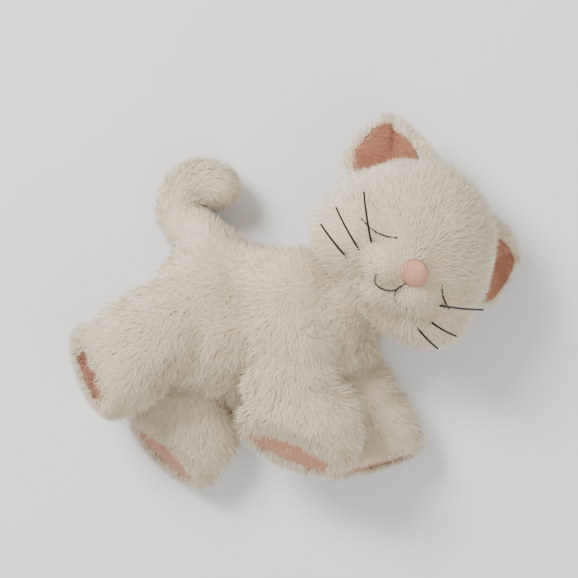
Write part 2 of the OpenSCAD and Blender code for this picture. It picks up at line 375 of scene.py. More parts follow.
def velour_material(look):
    """Short pink velour: brushed nap that shades in soft patches, grain about 0.6 mm."""
    made, tree, shader = material("pink_velour")
    spot = add(tree, "ShaderNodeTexCoord")
    nap = add(tree, "ShaderNodeTexNoise", {"Vector": spot.outputs["Object"]}, Scale=90, Detail=3)
    grain = add(tree, "ShaderNodeTexNoise", {"Vector": spot.outputs["Object"]}, Scale=1500, Detail=2)
    ramp = add(tree, "ShaderNodeMix", {"Factor": nap.outputs["Fac"]}, data_type="RGBA")
    ramp.inputs["A"].default_value = look.velour_dark
    ramp.inputs["B"].default_value = look.velour_light
    tree.links.new(ramp.outputs["Result"], shader.inputs["Base Color"])
    bump = add(tree, "ShaderNodeBump", {"Height": grain.outputs["Fac"]}, Strength=0.6, Distance=0.0005)
    tree.links.new(bump.outputs[0], shader.inputs["Normal"])
    shader.inputs["Roughness"].default_value = 0.9
    shader.inputs["Sheen Weight"].default_value = 0.4
    return made


def thread_material(name, dark, light, roughness):
    """Twisted thread: fine light and dark plies along its length."""
    made, tree, shader = material(name)
    spot = add(tree, "ShaderNodeTexCoord")
    plies = add(tree, "ShaderNodeTexNoise", {"Vector": spot.outputs["Object"]}, Scale=2200, Detail=1)
    ramp = add(tree, "ShaderNodeMix", {"Factor": plies.outputs["Fac"]}, data_type="RGBA")
    ramp.inputs["A"].default_value = dark
    ramp.inputs["B"].default_value = light
    tree.links.new(ramp.outputs["Result"], shader.inputs["Base Color"])
    shader.inputs["Roughness"].default_value = roughness
    return made


def floor_material():
    """Matt white paper sweep with the faintest mottling."""
    made, tree, shader = material("paper_sweep")
    spot = add(tree, "ShaderNodeTexCoord")
    mottle = add(tree, "ShaderNodeTexNoise", {"Vector": spot.outputs["Object"]}, Scale=4)
    ramp = add(tree, "ShaderNodeMix", {"Factor": mottle.outputs["Fac"]}, data_type="RGBA")
    ramp.inputs["A"].default_value = srgb("#f4f4f4")
    ramp.inputs["B"].default_value = srgb("#f7f7f7")
    tree.links.new(ramp.outputs["Result"], shader.inputs["Base Color"])
    shader.inputs["Roughness"].default_value = 0.9
    return made


MADE = {}


def finish_of(name):
    """The shared material of that name, made once."""
    look = bpy.context.scene.plush_look
    if name not in MADE:
        MADE[name] = {
            "pile": lambda: pile_material(look),
            "backing": lambda: backing_material(look),
            "velour": lambda: velour_material(look),
            "satin": lambda: thread_material("satin_thread", look.nose_dark, look.nose_light, 0.45),
            "edging": lambda: thread_material("edging_thread", srgb("#8d5f50"), srgb("#b07f6c"), 0.6),
            "black": lambda: thread_material("black_thread", srgb("#060506"), srgb("#171416"), 0.5),
            "cotton": lambda: thread_material("cotton_thread", srgb("#cfc7b8"), srgb("#e6dfd2"), 0.7),
            "filling": lambda: thread_material("fibre_filling", srgb("#eeeeee"), srgb("#fbfbfb"), 0.9),
            "pellets": lambda: thread_material("pellet_cloth", srgb("#b9c4cc"), srgb("#d8e0e5"), 0.8),
        }[name]()
    return MADE[name]


# ---------------------------------------------------------------- the pile

# How a cover's pile lies: its direction, its height as a share of the full one, and where it grows
FIELDS = ("comb", "pile", "cover")


def pile_tree():
    """Fibres over a cover: points on its faces, a bent blade on each, combed, tufted and frizzed."""
    if "PlushPile" in bpy.data.node_groups:
        return bpy.data.node_groups["PlushPile"]
    tree = bpy.data.node_groups.new("PlushPile", "GeometryNodeTree")
    face = tree.interface
    face.new_socket("Geometry", in_out="INPUT", socket_type="NodeSocketGeometry")
    for label, default in (
        ("Density", 1e6), ("Length", 0.01), ("Width", 0.0005), ("Lean", 1.0),
        ("Tuft size", 0.014), ("Tuft", 0.6), ("Frizz", 0.3),
    ):
        face.new_socket(label, in_out="INPUT", socket_type="NodeSocketFloat").default_value = default
    face.new_socket("Seed", in_out="INPUT", socket_type="NodeSocketInt").default_value = 1
    face.new_socket("Material", in_out="INPUT", socket_type="NodeSocketMaterial")
    face.new_socket("Geometry", in_out="OUTPUT", socket_type="NodeSocketGeometry")
    inputs = add(tree, "NodeGroupInput").outputs

    def named(name, kind="FLOAT"):
        return add(tree, "GeometryNodeInputNamedAttribute", data_type=kind, Name=name).outputs[0]

    def maths(operation, a, b=None, c=None):
        node = add(tree, "ShaderNodeMath", operation=operation)
        for i, value in enumerate((a, b, c)):
            if value is None:
                continue
            if isinstance(value, (int, float)):
                node.inputs[i].default_value = value
            else:
                tree.links.new(value, node.inputs[i])
        return node.outputs[0]

    def vectors(operation, a, b=None, scale=None):
        node = add(tree, "ShaderNodeVectorMath", operation=operation)
        for i, value in enumerate((a, b)):
            if value is None:
                continue
            if isinstance(value, tuple):
                node.inputs[i].default_value = value
            else:
                tree.links.new(value, node.inputs[i])
        if scale is not None:
            if isinstance(scale, (int, float)):
                node.inputs["Scale"].default_value = scale
            else:
                tree.links.new(scale, node.inputs["Scale"])
        return node.outputs[0]

    def dot(a, b):
        return add(tree, "ShaderNodeVectorMath", {0: a, 1: b}, operation="DOT_PRODUCT").outputs["Value"]

    def random_vector(low, high, seed):
        node = add(tree, "FunctionNodeRandomValue", data_type="FLOAT_VECTOR")
        node.inputs["Min"].default_value = (low,) * 3
        node.inputs["Max"].default_value = (high,) * 3
        tree.links.new(maths("ADD", inputs["Seed"], seed), node.inputs["Seed"])
        return node.outputs[0]

    def random_number(low, high, seed):
        node = add(tree, "FunctionNodeRandomValue", data_type="FLOAT")
        node.inputs[2].default_value = low
        node.inputs[3].default_value = high
        tree.links.new(maths("ADD", inputs["Seed"], seed), node.inputs["Seed"])
        return node.outputs[1]

    # One blade, one unit long: a strip of two steps that tapers to its tip and bends forwards
    grid = add(tree, "GeometryNodeMeshGrid", Size_X=1.0, Size_Y=1.0, Vertices_X=2, Vertices_Y=3)
    spot = add(tree, "GeometryNodeInputPosition").outputs[0]
    parts = add(tree, "ShaderNodeSeparateXYZ", {0: spot}).outputs
    along = maths("ADD", parts["Y"], 0.5)
    taper = maths("SUBTRACT", maths("MULTIPLY", along, maths("MULTIPLY", along, 0.999)), 1.0)
    shape = add(
        tree, "ShaderNodeCombineXYZ",
        {
            "X": maths("MULTIPLY", maths("MULTIPLY", along, along), 0.38),
            "Y": maths("MULTIPLY", parts["X"], taper),
            "Z": along,
        },
    )
    captured = add(
        tree, "GeometryNodeStoreNamedAttribute",
        {"Geometry": grid.outputs["Mesh"], "Value": along},
        data_type="FLOAT", domain="POINT", Name="strand",
    )
    blade = add(
        tree, "GeometryNodeSetPosition",
        {"Geometry": captured.outputs[0], "Position": shape.outputs[0]},
    )
    blade = add(tree, "GeometryNodeMergeByDistance", {"Geometry": blade.outputs[0]}, Distance=0.01)

    # Points, with the cover's own normal, comb and pile height
    scatter = add(
        tree, "GeometryNodeDistributePointsOnFaces",
        {
            "Mesh": inputs["Geometry"],
            "Density": maths("MULTIPLY", inputs["Density"], named("cover")),
            "Seed": inputs["Seed"],
        },
        distribute_method="RANDOM",
    )
    normal = scatter.outputs["Normal"]
    stored = add(
        tree, "GeometryNodeStoreNamedAttribute",
        {"Geometry": scatter.outputs["Points"], "Value": normal},
        data_type="FLOAT_VECTOR", domain="POINT", Name="skin_normal",
    )
    normal = named("skin_normal", "FLOAT_VECTOR")
    comb = named("comb", "FLOAT_VECTOR")
    flow = vectors("SUBTRACT", comb, vectors("SCALE", normal, scale=dot(normal, comb)))
    in_tufts = vectors("SCALE", spot, scale=maths("DIVIDE", 1.0, inputs["Tuft size"]))
    noise = add(tree, "ShaderNodeTexNoise", {"Vector": in_tufts}, Detail=1.0, Scale=1.0)
    tuft = vectors("SCALE", vectors("SUBTRACT", noise.outputs["Color"], (0.5, 0.5, 0.5)),
                   scale=maths("MULTIPLY", inputs["Tuft"], 3.2))
    frizz = vectors("SCALE", random_vector(-1, 1, 3), scale=inputs["Frizz"])
    way = vectors("ADD", normal, vectors("SCALE", flow, scale=inputs["Lean"]))
    way = vectors("NORMALIZE", vectors("ADD", way, vectors("ADD", tuft, frizz)))
    # A fibre never grows into its own backing
    short = maths("MAXIMUM", maths("SUBTRACT", 0.22, dot(way, normal)), 0.0)
    way = vectors("NORMALIZE", vectors("ADD", way, vectors("SCALE", normal, scale=short)))
    stand = add(tree, "FunctionNodeAlignRotationToVector", {"Vector": way}, axis="Z")
    lean_to = vectors("ADD", vectors("SCALE", normal, scale=-1.0),
                      vectors("SCALE", random_vector(-1, 1, 7), scale=0.35))
    face_to = add(
        tree, "FunctionNodeAlignRotationToVector",
        {"Rotation": stand.outputs[0], "Vector": lean_to}, axis="X", pivot_axis="Z",
    )
    full = maths("MULTIPLY", inputs["Length"], named("pile"))
    height = maths("MULTIPLY", full, random_number(0.7, 1.15, 11))
    scale = add(tree, "ShaderNodeCombineXYZ", {"X": height, "Y": inputs["Width"], "Z": height})
    planted = add(
        tree, "GeometryNodeInstanceOnPoints",
        {
            "Points": stored.outputs[0], "Instance": blade.outputs[0],
            "Rotation": face_to.outputs[0], "Scale": scale.outputs[0],
        },
    )
    shaded = add(
        tree, "GeometryNodeStoreNamedAttribute",
        {"Geometry": planted.outputs[0], "Value": random_number(0, 1, 17)},
        data_type="FLOAT", domain="INSTANCE", Name="shade",
    )
    real = add(tree, "GeometryNodeRealizeInstances", {"Geometry": shaded.outputs[0]})
    dressed = add(
        tree, "GeometryNodeSetMaterial",
        {"Geometry": real.outputs[0], "Material": inputs["Material"]},
    )
    add(tree, "NodeGroupOutput", {"Geometry": dressed.outputs[0]})
    return tree


def grow_pile(
    cover, name, seed, length=1.0, lean=1.0, density=1.0, tuft=1.0, finish="pile", slot="cream_plush",
):
    """The pile of one cover, as a plain mesh of fibres lit like the cover beneath them."""
    look = bpy.context.scene.plush_look
    piece = new_object(name, cover.data.copy())
    grower = piece.modifiers.new("Pile", "NODES")
    grower.node_group = pile_tree()
    set_inputs(grower, {
        "Density": look.pile_density * 1e6 * density, "Length": look.pile_length * length,
        "Width": look.pile_width, "Lean": lean, "Tuft size": look.tuft_size,
        "Tuft": look.tuft * tuft, "Frizz": look.frizz, "Seed": seed, "Material": finish_of(finish),
    })
    mesh = finish_modifiers(piece)
    lay_on_floor(mesh, PILE_PLAY)
    normals = np.empty(len(mesh.vertices) * 3, np.float32)
    mesh.attributes["skin_normal"].data.foreach_get("vector", normals)
    mesh.shade_smooth()
    own, skin = vertex_normals(mesh), normals.reshape(-1, 3)
    flat = look.softness * smoothstep(0.1, 0.75, np.sum(own * skin, axis=1, keepdims=True))
    mesh.normals_split_custom_set_from_vertices(unit(own * (1 - flat) + skin * flat).tolist())
    for spare in ("skin_normal", *FIELDS):
        if spare in mesh.attributes:
            mesh.attributes.remove(mesh.attributes[spare])
    return piece


def brushed(x, y):
    """A comb that lies one way all over a piece."""
    return lambda co: np.tile((x, y, 0.0), (len(co), 1))


def furred(cover, body, name, comb, seed, pile=None, mask=None, **growth):
    """Grows a piece's pile and sets it on a body. Comb, pile and mask are fields over its points."""
    mesh = cover.data
    co = positions(mesh) / MM
    for field, values in zip(FIELDS, (comb, pile, mask)):
        keep(mesh, field, np.ones(len(co)) if values is None else values(co))
    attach(grow_pile(cover, name, seed, **growth), body)
    for field in FIELDS:
        mesh.attributes.remove(mesh.attributes[field])


def coat(piece, finish):
    """Gives a piece one of the shared materials and nothing else."""
    piece.data.materials.clear()
    piece.data.materials.append(finish_of(finish))


def settle(piece, body, nodes=()):
    """Sets a finished piece on its body and hides the CAD nodes it stands for."""
    if nodes:
        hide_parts(*nodes)
    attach(piece, body)


def velour(piece, body, node, seed):
    """Finishes a piece of velour with its short brushed nap."""
    coat(piece, "velour")
    settle(piece, body, (node,))
    furred(
        piece, body, piece.name + "_nap", brushed(0.4, -0.4), seed, length=0.14, lean=0.7,
        density=2.2, tuft=1.2, finish="velour", slot="pink_velour",
    )


def dress(cover, body, comb, pile=None, mask=None, seed=1, nodes=(), fill=0.7, **growth):
    """Finishes one plush cover: backing, pile, and the CAD nodes it stands for."""
    coat(cover, "backing")
    settle(cover, body, nodes)
    furred(
        cover, body, cover.name.replace("_cover", "_pile"), lambda co: unit(comb(co)), seed,
        pile, mask, **growth,
    )


# ---------------------------------------------------------------- forms of the kitten


def in_head(x, y, z):
    """A place in the head's own frame (left, up, forwards) as a place in the row frame, in mm."""
    return HEAD + HEAD_TURN @ Vector((x, y, z))


def head_lumps():
    """Eggs of the head, each with its middle in the head's own frame and its radii."""
    eggs = [
        # skull
        ((0, 1, -1), (53.5, 52, 44)),
        # left and right cheek
        ((26, -14, 14), (30, 27, 25)),
        ((-26, -14, 14), (31, 28, 25)),
        # brow
        ((0, 12, 14), (34, 32, 27)),
        # the muzzle's two cushions, its bridge and the chin
        ((10.5, -17, 37), (14, 12.5, 13)),
        ((-10.5, -17, 37), (14, 12.5, 13)),
        ((0, -10, 36), (13, 13, 14)),
        ((0, -27, 31), (13, 11, 12)),
    ]
    return [lump(in_head(*c), r, HEAD_TURN) for c, r in eggs]


def leg_frame(leg):
    """Hinge, turn (along the leg, across it, up), reach and middle height of a leg."""
    hinge = place(leg + "_leg_swing")
    sole = middle(leg + "_pad")
    level = middle(leg + "_leg_stuffing").z
    along = Vector((sole.x - hinge.x, sole.y - hinge.y, 0))
    reach = along.length
    along.normalize()
    across = Vector((0, 0, 1)).cross(along)
    return Vector((hinge.x, hinge.y, level)), columns(along, across, Vector((0, 0, 1))), reach


def sole_frame(leg):
    """Middle of a sole, its outward direction, its long direction and its width, from the CAD pad."""
    co = positions(frame["nodes"][leg + "_pad"].data) / MM
    centre = co.mean(0)
    _, _, ways = np.linalg.svd(co - centre, full_matrices=False)
    long_way = Vector(ways[0])
    outward = Vector(ways[2])
    hinge = place(leg + "_leg_swing")
    if outward.dot(Vector(centre) - hinge) < 0:
        outward = -outward
    outward.z = 0
    long_way.z = 0
    width = np.ptp((co - centre) @ np.array(long_way)) + SOLE_MARGIN
    return Vector(middle(leg + "_pad")), outward.normalized(), long_way.normalized(), float(width)


LEGS = {
    # name: side (1 upper, -1 lower), tilt of the sole towards the sky, seed
    "right_front": (1, 41, 11),
    "left_front": (-1, 18, 12),
    "right_hind": (1, 34, 13),
    "left_hind": (-1, 32, 14),
}


def sole_plane(leg):
    """Middle, tilted outward direction, long direction and width of a sole as the cover is cut."""
    centre, outward, long_way, width = sole_frame(leg)
    tilt = math.radians(LEGS[leg][1])
    normal = (outward * math.cos(tilt) + Vector((0, 0, math.sin(tilt)))).normalized()
    return centre, normal, long_way, width


def leg_lumps(leg):
    """Eggs of one leg, from its root to its broad foot."""
    side = LEGS[leg][0]
    base, facing, reach = leg_frame(leg)
    centre, outward, _, width = sole_frame(leg)
    foot = columns(outward, Vector((0, 0, 1)).cross(outward), Vector((0, 0, 1)))

    def at(x, y, z):
        return base + facing @ Vector((x, y, z))

    return [
        lump(at(6, 0, 1 * side), (22, 23, 13), facing),
        lump(at(0.27 * reach, 0, 1.5 * side), (27, 26, 16.5), facing),
        lump(at(0.52 * reach, 0, 0), (29, 27, 18.5), facing),
        lump(centre - outward * 22, (27, width / 2 - 4, 18), foot),
        lump(centre - outward * 8, (24, width / 2 - 2.5, 18.5), foot),
    ]


def torso_lumps():
    """Eggs of the torso, with a root for each leg, which its joint turns in."""
    half = RUMP.lerp(CHEST, 0.5)
    joints = []
    for leg, (side, _, _) in LEGS.items():
        base, facing, _ = leg_frame(leg)
        joints.append(lump(base + facing @ Vector((-4, 0, -7 * side)), (28, 28, 21), facing))
    return joints + [
        lump(RUMP, (39, 39, 35)),
        # waist, back and belly
        lump(half + Vector((0, -1, -1)), (38, 35, 32)),
        lump(half + Vector((-6, 10, 0)), (38, 34, 30)),
        lump(half + Vector((-10, -18, -7)), (27, 32, 26)),
        lump(CHEST, (36, 35, 34)),
        # collar
        lump(NECK + Vector((-6, -3, 0)), (25, 24, 25)),
        lump(NECK + Vector((4, 3, 3)), (21, 21, 22)),
        # root of the tail
        lump(TAIL_ROOT + Vector((3, -10, 1)), (23, 17, 20)),
    ]


def tail_route():
    """The tail's middle line: out from its root, then round the curl."""
    start = math.radians(CURL_START)
    centre = TAIL_BEND - CURL_R * Vector((math.cos(start), math.sin(start), 0))
    route = [TAIL_ROOT + Vector((2, -7, 1)), TAIL_ROOT, TAIL_ROOT.lerp(TAIL_BEND, 0.5)]
    for i in range(9):
        angle = math.radians(CURL_START - CURL_SWEEP * i / 8)
        route.append(centre + CURL_R * Vector((math.cos(angle), math.sin(angle), 0)))
    return route


def ear_frame(side):
    """Sewn base and turn (along the base, up the ear, forwards) of an ear."""
    name = "left_ear_fold" if side > 0 else "right_ear_fold"
    out = HEAD_TURN @ turn("Z", 90 - side * (90 - EAR_ANGLE))
    tilt = EAR_TILT + (LEFT_EAR_BACK if side > 0 else 0)
    rotation = out @ turn("Z", -90) @ turn("X", -tilt) @ turn("Z", side * EAR_LEAN)
    return place(name), rotation


# ---------------------------------------------------------------- settings


class PlushLook(bpy.types.PropertyGroup):
    """Sizes and colours of the kitten's looks."""

    pile_length: bpy.props.FloatProperty(
        name="Pile length", description="Length of a fibre", default=0.0092, min=0.003, max=0.02,
        unit="LENGTH",
    )
    pile_width: bpy.props.FloatProperty(
        name="Fibre width", description="Width of a fibre or a wisp of fibres", default=0.00038,
        min=0.0002, max=0.001, unit="LENGTH",
    )
    pile_density: bpy.props.FloatProperty(
        name="Pile density", description="Fibres on each square millimetre",
        default=2.3, min=0.2, max=5,
    )
    tuft_size: bpy.props.FloatProperty(
        name="Tuft size", description="Distance between tufts", default=0.013, min=0.004, max=0.04,
        unit="LENGTH",
    )
    tuft: bpy.props.FloatProperty(
        name="Tufting", description="How far the tufts part the pile", default=0.5, min=0, max=1.5,
    )
    frizz: bpy.props.FloatProperty(
        name="Frizz", description="How untidy single fibres are", default=0.44, min=0, max=1,
    )
    softness: bpy.props.FloatProperty(
        name="Soft light", description="How far fibres are lit like the cover beneath them",
        default=0.76,
        min=0, max=1,
    )
    pile_tip: bpy.props.FloatVectorProperty(
        name="Pile tips", description="Colour of the fibre tips", default=srgb("#faf0dc"), size=4,
        subtype="COLOR", min=0, max=1,
    )
    # Fibre roots: warm cream, darkened as painted shade among the fibres
    pile_root: bpy.props.FloatVectorProperty(
        name="Pile roots", description="Colour of the fibre roots", default=srgb("#e3d0ae"), size=4,
        subtype="COLOR", min=0, max=1,
    )
    velour_dark: bpy.props.FloatVectorProperty(
        name="Velour, dark", description="Shaded nap of the pink velour",
        default=srgb("#ab6c50"), size=4,
        subtype="COLOR", min=0, max=1,
    )
    velour_light: bpy.props.FloatVectorProperty(
        name="Velour, light", description="Bright nap of the pink velour",
        default=srgb("#cf9273"), size=4,
        subtype="COLOR", min=0, max=1,
    )
    nose_dark: bpy.props.FloatVectorProperty(
        name="Nose, dark", description="Shaded satin thread", default=srgb("#cf8e76"), size=4,
        subtype="COLOR", min=0, max=1,
    )
    nose_light: bpy.props.FloatVectorProperty(
        name="Nose, light", description="Bright satin thread", default=srgb("#e8b5a0"), size=4,
        subtype="COLOR", min=0, max=1,
    )
    whisker: bpy.props.FloatProperty(
        name="Whisker width", description="Thickness of a whisker",
        default=0.0014, min=0.0004, max=0.002,
        unit="LENGTH",
    )


# ---------------------------------------------------------------- operators


class PLUSH_OT_torso(bpy.types.Operator):
    """Sews, fills and furs the torso"""

    bl_idname = "plush.torso"
    bl_label = "Torso"

    def execute(self, context):
        cover = stuffed("torso_cover", torso_lumps(), rounds=12, seed=21)
        hidden = [e for leg in LEGS for e in leg_lumps(leg)] + head_lumps()

        def comb(co):
            away = np.tile((-0.8, -0.35, 0.0), (len(co), 1))
            away[:, 1] += 0.9 * smoothstep(0, 30, co[:, 1]) - 0.5 * smoothstep(10, 40, -co[:, 1])
            return away

        def mask(co):
            return np.where(inside(co, hidden, 2.5), 0.0, 1.0) * smoothstep(0.5, 3, co[:, 2])

        dress(
            cover, "torso", comb, mask=mask, seed=1, lean=0.85, density=1.1,
            nodes=("torso_skin", "torso_stuffing"),
        )
        return {"FINISHED"}


class PLUSH_OT_neck(bpy.types.Operator):
    """Fills the neck between the torso and the head"""

    bl_idname = "plush.neck"
    bl_label = "Neck"

    def execute(self, context):
        cover = stuffed("neck_cover", [lump(NECK, (NECK_R,) * 3)], voxel=2.0, rounds=4, waves=0.2)
        coat(cover, "filling")
        settle(cover, "neck", ("neck_stuffing",))
        furred(cover, "neck", "neck_pile", brushed(-0.7, -0.5), 4, length=0.8, density=0.8)
        return {"FINISHED"}


class PLUSH_OT_head(bpy.types.Operator):
    """Sews, fills and furs the head"""

    bl_idname = "plush.head"
    bl_label = "Head"

    def execute(self, context):
        cover = stuffed("head_cover", head_lumps(), voxel=2.2, rounds=8, waves=0.35, seed=22)
        nose = np.array(in_head(NOSE_X, NOSE_Y, 40))

        def local(co):
            return (co - np.array(HEAD)) @ np.array(HEAD_TURN)

        def comb(co):
            return unit(co - nose) * 1.0 + np.array(HEAD_TURN @ Vector((0, 0.1, -0.25)))

        def pile(co):
            p = local(co)
            front = smoothstep(18, 34, p[:, 2])
            near = np.hypot(p[:, 0] - NOSE_X, p[:, 1] + 12)
            short = 0.36 + 0.64 * smoothstep(6, 40, near)
            for side in (-1, 1):
                eye = np.hypot(p[:, 0] - side * 29, (p[:, 1] + 6) * 1.6)
                short = np.minimum(short, 0.42 + 0.58 * smoothstep(6, 26, eye))
                root = np.array(ear_frame(side)[0] + HEAD_TURN @ Vector((0, 0, 8)))
                by_ear = smoothstep(14, 30, np.linalg.norm(co - root, axis=1))
                short = np.minimum(short, 0.5 + 0.5 * by_ear)
                front = np.maximum(front, 1 - by_ear)
            return 0.95 * ((1 - front) + front * short)

        def mask(co):
            p = local(co)
            bare = (np.hypot(p[:, 0] - NOSE_X, p[:, 1] - NOSE_Y) < 7) & (p[:, 2] > 30)
            return np.where(bare, 0.0, 1.0) * smoothstep(0.5, 3, co[:, 2])

        dress(
            cover, "head", comb, pile, mask, seed=2, lean=0.9, density=0.9, tuft=0.7,
            nodes=("head_skin", "head_stuffing"), fill=0.85,
        )
        return {"FINISHED"}


class PLUSH_OT_legs(bpy.types.Operator):
    """Sews, fills and furs the four legs"""

    bl_idname = "plush.legs"
    bl_label = "Legs"

    def execute(self, context):
        for leg, (_, _, seed) in LEGS.items():
            base, facing, _ = leg_frame(leg)
            centre, normal, long_way, width = sole_plane(leg)
            c, n = np.array(centre), np.array(normal)

            def shape(co, c=c, n=n):
                past = np.maximum((co - c) @ n, 0)
                return co - past[:, None] * n

            cover = stuffed(
                leg + "_leg_cover", leg_lumps(leg), rounds=9, waves=0.6, seed=seed, shape=shape,
            )
            along = np.array(facing @ Vector((1, 0, 0)))

            def comb(co, c=c, along=along, base=np.array(base)):
                spread = unit(co - (c - 60 * along))
                down = 0.75 * along + 0.45 * spread + np.array((0, 0, -0.1))
                shaft = smoothstep(-16, 34, (co - base) @ along)[:, None]
                return shaft * down + (1 - shaft) * (0.55 * along + np.array((-0.6, -0.35, 0)))

            def mask(co, c=c, n=n, long_way=np.array(long_way), width=width):
                flat = np.abs((co - c) @ n) < 1.2
                x = (co - c) @ long_way
                y = np.linalg.norm((co - c) - x[:, None] * long_way, axis=1)
                half_length = width / 2 - PAD_RIM - PAD_TUCK
                edge = np.abs(x / half_length) ** 3 + (y / (PAD_HALF_WIDTH - PAD_TUCK)) ** 3
                ragged = edge + 0.35 * ripple(co, 9, 5)
                rim = np.where(flat, smoothstep(0.35, 1.1, ragged), 1.0)
                return rim * smoothstep(0.5, 2.5, co[:, 2])

            def pile(co, c=c, n=n):
                near = smoothstep(0, 9, -((co - c) @ n))
                return 0.6 + 0.4 * near

            dress(
                cover, leg + "_leg", comb, pile, mask, seed=seed, lean=0.85, density=1.4,
                nodes=(leg + "_leg_skin", leg + "_leg_stuffing"), fill=0.6,
            )
        return {"FINISHED"}


class PLUSH_OT_pads(bpy.types.Operator):
    """Sews a velour pad into each sole"""

    bl_idname = "plush.pads"
    bl_label = "Sole pads"

    def execute(self, context):
        for leg in LEGS:
            centre, normal, long_way, width = sole_plane(leg)
            short_way = normal.cross(long_way)
            half_length = width / 2 - PAD_RIM
            bm = bmesh.new()
            bmesh.ops.create_icosphere(bm, subdivisions=5, radius=1)
            for v in bm.verts:
                x, y, z = v.co
                r = math.hypot(x, y)
                square = r / max((abs(x) ** 3 + abs(y) ** 3) ** (1 / 3), 1e-6)
                x *= square
                y *= square
                sag = 0.5 * math.sin(7 * math.atan2(y, x) + 1.3) * r
                crown = 1.9 * z * (1 - 0.25 * r) if z > 0 else 1.2 * z
                across = long_way * (x * half_length + sag * 0.4) + short_way * (y * PAD_HALF_WIDTH + sag)
                v.co = (centre + across + normal * crown) * MM
            pad = plain_mesh(bm, leg + "_pad_velour")
            velour(pad, leg + "_leg", leg + "_pad", LEGS[leg][2])
        return {"FINISHED"}


class PLUSH_OT_tail(bpy.types.Operator):
    """Sews, fills and furs the curled tail"""

    bl_idname = "plush.tail"
    bl_label = "Tail"

    def execute(self, context):
        route = tail_route()
        pairs = zip(route, route[1:])
        eggs = [lump(a.lerp(b, k / 3), (12.2,) * 3) for a, b in pairs for k in range(3)]
        eggs.append(lump(route[-1], (12.6,) * 3))
        cover = stuffed("tail_cover", eggs, voxel=2.0, rounds=6, waves=0.4, seed=23)
        line = np.array([tuple(p) for p in route])
        ways = unit(np.gradient(line, axis=0))

        def comb(co):
            nearest = np.argmin(np.linalg.norm(co[:, None] - line[None], axis=2), axis=1)
            return ways[nearest]

        def mask(co):
            return smoothstep(0.5, 2.5, co[:, 2]) * np.where(inside(co, torso_lumps(), 3), 0.0, 1.0)

        dress(
            cover, "tail", comb, mask=mask, seed=3, lean=0.9, length=0.85, density=1.5,
            nodes=("tail_skin", "tail_stuffing"), fill=0.65,
        )
        return {"FINISHED"}


def ear_width(rise):
    """How wide an ear is at a share of its height, against its leaf's own width."""
    return 1.12 - EAR_NARROWING * np.clip(rise, 0, 1.2)


def ear_leaf(name, side, radii, offset, voxel):
    """A soft leaf in the shape of an ear: narrower towards its tip, cupped, leaning a little."""
    base, rotation = ear_frame(side)
    origin, axes = np.array(base), np.array(rotation)

    def shape(co):
        p = (co - origin) @ axes
        x, y, z = p.T
        rise = np.clip(y / EAR_H, 0, 1.2)
        x = x * ear_width(rise)
        z = z + 6.5 * (x / 24) ** 2 * (0.4 + 0.6 * rise) - 3.0 * rise ** 2
        crease = np.exp(-(((x + side * 2) / 3.0) ** 2)) * smoothstep(-5, 12, y)
        z = z - 2.4 * crease
        return origin + np.stack((x, y, z), 1) @ axes.T

    egg = lump(base + rotation @ Vector(offset), radii, rotation)
    return stuffed(name, [egg], voxel=voxel, rounds=3, waves=0.25, seed=40 + side, shape=shape)


class PLUSH_OT_ears(bpy.types.Operator):
    """Sews both ears: furred backs and pink velour linings"""

    bl_idname = "plush.ears"
    bl_label = "Ears"

    def execute(self, context):
        for side, word, seed in ((-1, "right", 31), (1, "left", 32)):
            down = LEFT_EAR_DROP if side > 0 else 0
            cover = ear_leaf(word + "_ear_cover", side, (25, EAR_H + 3, 3.6), (0, -down, -1), 1.5)
            base, rotation = ear_frame(side)
            origin = np.array(base)
            sideways, up, forward = np.array(rotation).T
            normals = vertex_normals(cover.data)

            def comb(co, up=up, sideways=sideways, origin=origin):
                return up + 0.5 * unit(((co - origin) @ sideways)[:, None] * sideways + 1e-6)

            def mask(
                co, forward=forward, normals=normals, up=up, sideways=sideways, origin=origin,
                side=side,
            ):
                x = (co - origin) @ sideways - 3.5 * side
                y = (co - origin) @ up
                wide = 18 * ear_width(y / EAR_H)
                inner = ((x / wide) ** 2 + (np.maximum(y, 0) / 22) ** 2 < 1) & (normals @ forward > 0.1)
                return np.where(inner, 0.0, 1.0) * smoothstep(-12, -6, y)

            dress(
                cover, word + "_ear", comb, mask=mask, seed=seed, lean=0.7, length=0.66, density=1.5,
                nodes=(word + "_ear_back",), fill=0.2,
            )
            lining = ear_leaf(
                word + "_ear_velour", side, (19, 24.5, 1.6), (3.5 * side, -down, 2.2), 1.0,
            )
            velour(lining, word + "_ear", word + "_ear_lining", seed)
        return {"FINISHED"}


def on_face(x, y, above=0.0):
    """A point on the head's cover at that place across and up the face, raised by some millimetres."""
    cover = bpy.data.objects["head_cover"]
    start = in_head(x, y, 90) * MM
    hit, where, normal, _ = cover.ray_cast(start, -(HEAD_TURN @ Vector((0, 0, 1))))
    if not hit:
        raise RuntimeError("the face line misses the head")
    return where / MM + normal * above


